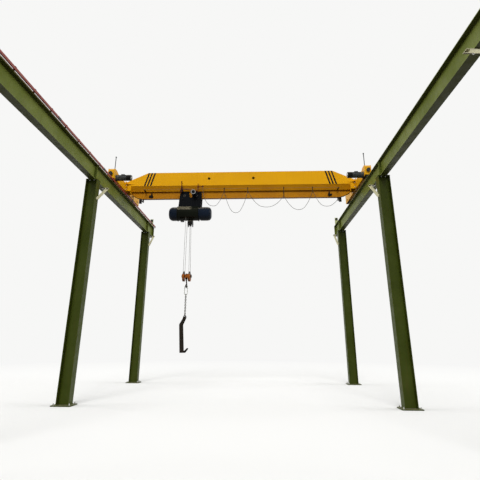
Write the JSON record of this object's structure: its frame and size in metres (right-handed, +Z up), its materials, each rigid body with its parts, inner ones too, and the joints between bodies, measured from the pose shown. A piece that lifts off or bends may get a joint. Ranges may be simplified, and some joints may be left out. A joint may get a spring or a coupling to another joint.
{
  "type": "overhead bridge crane",
  "caption": "Single-girder overhead travelling crane on a column-borne runway, with an underslung rope hoist, a trailing cable, a hook block and a coil hook on a chain.",
  "frame": {"origin": "on the floor, midway between the two rails and midway along the runway", "axes": "+X across the hall to the right seen from the front, +Y along the runway away from the front, +Z up"},
  "size_m": [9.32, 14.012, 7.816],
  "materials": {
    "green_paint": "satin",
    "green_beam_paint": "satin",
    "pale_green_paint": "satin",
    "cream_paint": "satin",
    "yellow_paint": "gloss",
    "navy_paint": "gloss",
    "dark_green_paint": "satin",
    "black_paint": "satin",
    "grey_paint": "satin",
    "dark_red_paint": "matte",
    "orange_paint": "satin",
    "rail_steel": "worn",
    "wheel_steel": "worn",
    "bright_steel": "satin",
    "rope_steel": "dull",
    "black_iron": "dull",
    "rubber": "matte",
    "cable_sheath": "matte",
    "red_plastic": "satin",
    "black_plastic": "satin"
  },
  "bodies": {
    "runway": {"left_columns": "green_paint", "right_columns": "green_paint", "left_runway_beam": "green_beam_paint", "right_runway_beam": "green_beam_paint", "left_rail": "rail_steel", "right_rail": "rail_steel", "left_knee_braces": "cream_paint", "right_knee_braces": "cream_paint", "end_stops": "pale_green_paint", "end_stop_pads": "rubber", "conductor_bar": "red_plastic", "conductor_hangers": "dark_red_paint", "conductor_end_caps": "black_plastic"},
    "bridge": {"girder_box": "yellow_paint", "girder_skirts": "yellow_paint", "girder_track": "yellow_paint", "girder_end_joints": "yellow_paint", "left_end_carriage": "yellow_paint", "right_end_carriage": "yellow_paint", "carriage_buffers": "rubber", "wheel_axles": "wheel_steel", "bridge_wheels": "wheel_steel", "travel_gearboxes": "grey_paint", "travel_motors": "grey_paint", "motor_covers": "black_paint", "carriage_masts": "grey_paint", "track_stops": "black_paint", "wire_brackets": "black_paint", "cable_wire": "rope_steel", "cable_end_clamp": "black_paint", "current_collector": "black_paint", "trailing_cable": "cable_sheath"},
    "carrier_1": {"cable_carrier_1": "black_paint"},
    "carrier_2": {"cable_carrier_2": "black_paint"},
    "carrier_3": {"cable_carrier_3": "black_paint"},
    "carrier_4": {"cable_carrier_4": "black_paint"},
    "hoist": {"trolley_plates": "navy_paint", "trolley_wheels": "wheel_steel", "trolley_motor": "navy_paint", "drum_shell": "dark_green_paint", "rope_drum": "rail_steel", "hoist_gearbox": "navy_paint", "hoist_motor": "navy_paint", "rope_guide": "black_paint", "upper_sheave": "black_paint", "towing_arms": "dark_red_paint", "upper_rope_wrap": "rope_steel", "hoist_ropes": "rope_steel"},
    "hook_block": {"block_rope_wraps": "rope_steel", "block_sheaves": "wheel_steel", "block_frame": "orange_paint"},
    "hook": {"load_hook": "black_iron", "master_link": "bright_steel", "sling_chain": "rope_steel", "coil_hook": "black_iron"}
  },
  "joints": [
    {"name": "bridge_travel", "type": "slide", "parent": "runway", "child": "bridge", "axis": [0, 1, 0], "range_m": [-8, 2.4]},
    {"name": "trolley_travel", "type": "slide", "parent": "bridge", "child": "hoist", "axis": [1, 0, 0], "range_m": [-1, 4.5], "deforming": ["trailing_cable"]},
    {"name": "hook_lift", "type": "slide", "parent": "hoist", "child": "hook_block", "axis": [0, 0, 1], "range_m": [-1.15, 1.4], "deforming": ["hoist_ropes"]},
    {"name": "hook_swivel", "type": "hinge", "parent": "hook_block", "child": "hook", "pos_m": [-1.865, 2.8, 3.6], "axis": [0, 0, 1], "continuous": true},
    {"name": "carrier_1_slide", "type": "slide", "parent": "bridge", "child": "carrier_1", "axis": [1, 0, 0], "range_m": [-0.859, 3.794]},
    {"name": "carrier_2_slide", "type": "slide", "parent": "bridge", "child": "carrier_2", "axis": [1, 0, 0], "range_m": [-0.683, 3.005]},
    {"name": "carrier_3_slide", "type": "slide", "parent": "bridge", "child": "carrier_3", "axis": [1, 0, 0], "range_m": [-0.417, 1.807]},
    {"name": "carrier_4_slide", "type": "slide", "parent": "bridge", "child": "carrier_4", "axis": [1, 0, 0], "range_m": [-0.205, 0.855]}
  ],
  "couplings": [
    {"joint": "carrier_1_slide", "follows": "trolley_travel", "ratio": 0.8387},
    {"joint": "carrier_2_slide", "follows": "trolley_travel", "ratio": 0.6633},
    {"joint": "carrier_3_slide", "follows": "trolley_travel", "ratio": 0.3972},
    {"joint": "carrier_4_slide", "follows": "trolley_travel", "ratio": 0.1855}
  ]
}
